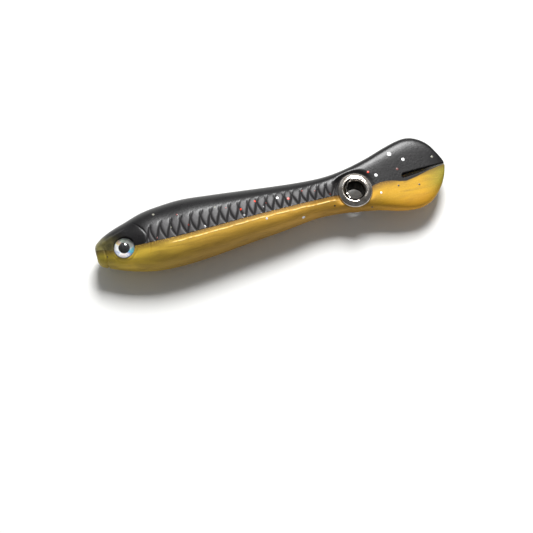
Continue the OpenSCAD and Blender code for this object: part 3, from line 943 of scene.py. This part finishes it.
nickel = nickel_plate()
axis = Vector(((washer_low.x + washer_high.x) / 2, (washer_low.y + washer_high.y) / 2, MID_Z))
around = np.arange(STEPS) * 360 / STEPS
curl = np.interp(around, [c[0] for c in CURL], [c[1] for c in CURL])
ragged = np.interp(around, [c[0] for c in CURL], [c[2] for c in CURL])
rolled, leaning = np.maximum(curl, 0), np.minimum(curl, 0) * 0.8
outer_r = BORE_R + BARREL_WALL
lip_r = outer_r + 0.85 * rolled + leaning
lip_z = SEAT_Z + 0.7 + 0.32 * rolled + 0.35 * ragged
barrel = turned(
    "eyelet_barrel_set",
    [
        (BORE_R, -SEAT_Z), (BORE_R + 0.08, -SEAT_Z - 0.3), (BORE_R + 0.25, -SEAT_Z - FLANGE_T + 0.06),
        (BORE_R + 0.5, -SEAT_Z - FLANGE_T), (FLANGE_R - 0.4, -SEAT_Z - FLANGE_T),
        (FLANGE_R - 0.1, -SEAT_Z - FLANGE_T + 0.08), (FLANGE_R, -SEAT_Z - FLANGE_T + 0.25),
        (FLANGE_R - 0.08, -SEAT_Z - 0.07), (FLANGE_R - 0.3, -SEAT_Z), (outer_r + 0.12, -SEAT_Z),
        (outer_r, -SEAT_Z + 0.12), (outer_r, SEAT_Z - 0.5), (outer_r + 0.1 * rolled, SEAT_Z + 0.25),
        (lip_r - 0.28, lip_z - 0.22), (lip_r - 0.03, lip_z - 0.06), (lip_r - 0.02, lip_z),
        (lip_r - 0.1, lip_z + 0.05), (lip_r - 0.2 - 0.18 * rolled, lip_z + 0.03 + 0.05 * rolled),
        (lip_r - 0.26 - 0.4 * rolled, lip_z - 0.12), (BORE_R + 0.06 * rolled + 0.4 * leaning, SEAT_Z + 0.1),
        (BORE_R, SEAT_Z - 0.6),
    ],
    axis, 1, nickel, steps=STEPS,
)
washer = turned(
    "eyelet_washer_domed",
    [
        (outer_r + 0.06, SEAT_Z), (WASHER_R - 0.15, SEAT_Z), (WASHER_R - 0.02, SEAT_Z + 0.04),
        (WASHER_R, SEAT_Z + 0.14), (WASHER_R - 0.05, SEAT_Z + 0.32), (WASHER_R - 0.18, SEAT_Z + 0.53),
        (WASHER_R - 0.38, SEAT_Z + 0.72), (WASHER_R - 0.65, SEAT_Z + 0.88), (WASHER_R - 0.95, SEAT_Z + 1.0),
        (WASHER_R - 1.25, SEAT_Z + 1.07), (WASHER_INNER_R + 0.22, SEAT_Z + WASHER_H),
        (WASHER_INNER_R + 0.1, SEAT_Z + 1.06), (WASHER_INNER_R + 0.02, SEAT_Z + 0.93),
        (WASHER_INNER_R, SEAT_Z + 0.75),
        (WASHER_INNER_R, SEAT_Z + 0.18), (outer_r + 0.06, SEAT_Z + 0.14),
    ],
    axis, 1, nickel, steps=STEPS,
)
for piece, name in ((barrel, "eyelet_barrel"), (washer, "eyelet_washer")):
    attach(piece, "tail")
    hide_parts(name)

# ---------------------------------------------------------------------------------------------
# The studio: a pale matt table top, one softbox high behind the fish to the right, and a dim room whose
# far wall, behind the fish's back, is a pale reflector.
CAMERA_AZIMUTH, CAMERA_ELEVATION = math.radians(-14.7), math.radians(73)
CAMERA_DISTANCE, LENS = 0.5, 118.3
AIM = Vector(to_frame((46.2, -15.7, 0)))
TABLE_HALF = 1.5
KEY_DIRECTION, KEY_DISTANCE, KEY_SIZE, KEY_POWER = (0.23, 0.62, 0.75), 0.9, 0.34, 12
WALL_DIRECTION, ROOM_LIGHT, WALL_LIGHT = (0.25, 0.97, 0), 0.2, 0.6

floor_mesh = bpy.data.meshes.new("table_top")
corners = [(x * TABLE_HALF, y * TABLE_HALF, cad_low.z) for x, y in ((-1, -1), (1, -1), (1, 1), (-1, 1))]
floor_mesh.from_pydata(corners, [], [(0, 1, 2, 3)])
floor = bpy.data.objects.new("table_top", floor_mesh)
bpy.context.scene.collection.objects.link(floor)
matt, _, matt_shader = new_finish("matt_white_laminate")
matt_shader.inputs["Base Color"].default_value = linear("#f6f6f4")
matt_shader.inputs["Roughness"].default_value = 0.8
floor_mesh.materials.append(matt)

a, e = CAMERA_AZIMUTH, CAMERA_ELEVATION
towards = Vector((math.sin(a) * math.cos(e), -math.cos(a) * math.cos(e), math.sin(e)))
camera = bpy.data.objects.new("camera", bpy.data.cameras.new("camera"))
bpy.context.scene.collection.objects.link(camera)
camera.data.lens = LENS
camera.data.clip_start = 0.01
camera.location = AIM + towards * CAMERA_DISTANCE
camera.rotation_mode = "QUATERNION"
camera.rotation_quaternion = (-towards).to_track_quat("-Z", "Y")
bpy.context.scene.camera = camera


def softbox(name, direction, distance, size, power):
    """A square softbox that faces the fish."""
    light = bpy.data.lights.new(name, "AREA")
    light.size = size
    light.energy = power
    lamp = bpy.data.objects.new(name, light)
    bpy.context.scene.collection.objects.link(lamp)
    back = Vector(direction).normalized()
    lamp.location = back * distance
    lamp.rotation_mode = "QUATERNION"
    lamp.rotation_quaternion = (-back).to_track_quat("-Z", "Y")


softbox("key_softbox", KEY_DIRECTION, KEY_DISTANCE, KEY_SIZE, KEY_POWER)
room = bpy.data.worlds.new("pale_room")
room.use_nodes = True
backdrop = room.node_tree.nodes["Background"]
backdrop.inputs["Color"].default_value = linear("#f4f6f8")
outwards = node(room.node_tree, "TexCoord").outputs["Generated"]
facing = node(
    room.node_tree, "VectorMath", {0: outwards, 1: WALL_DIRECTION}, operation="DOT_PRODUCT"
).outputs["Value"]
shade = node(
    room.node_tree, "MapRange",
    {"Value": facing, "From Min": 0.2, "From Max": 0.85, "To Min": ROOM_LIGHT, "To Max": WALL_LIGHT},
    interpolation_type="SMOOTHSTEP",
).outputs["Result"]
room.node_tree.links.new(shade, backdrop.inputs["Strength"])
bpy.context.scene.world = room
bpy.context.scene.view_settings.view_transform = "Standard"
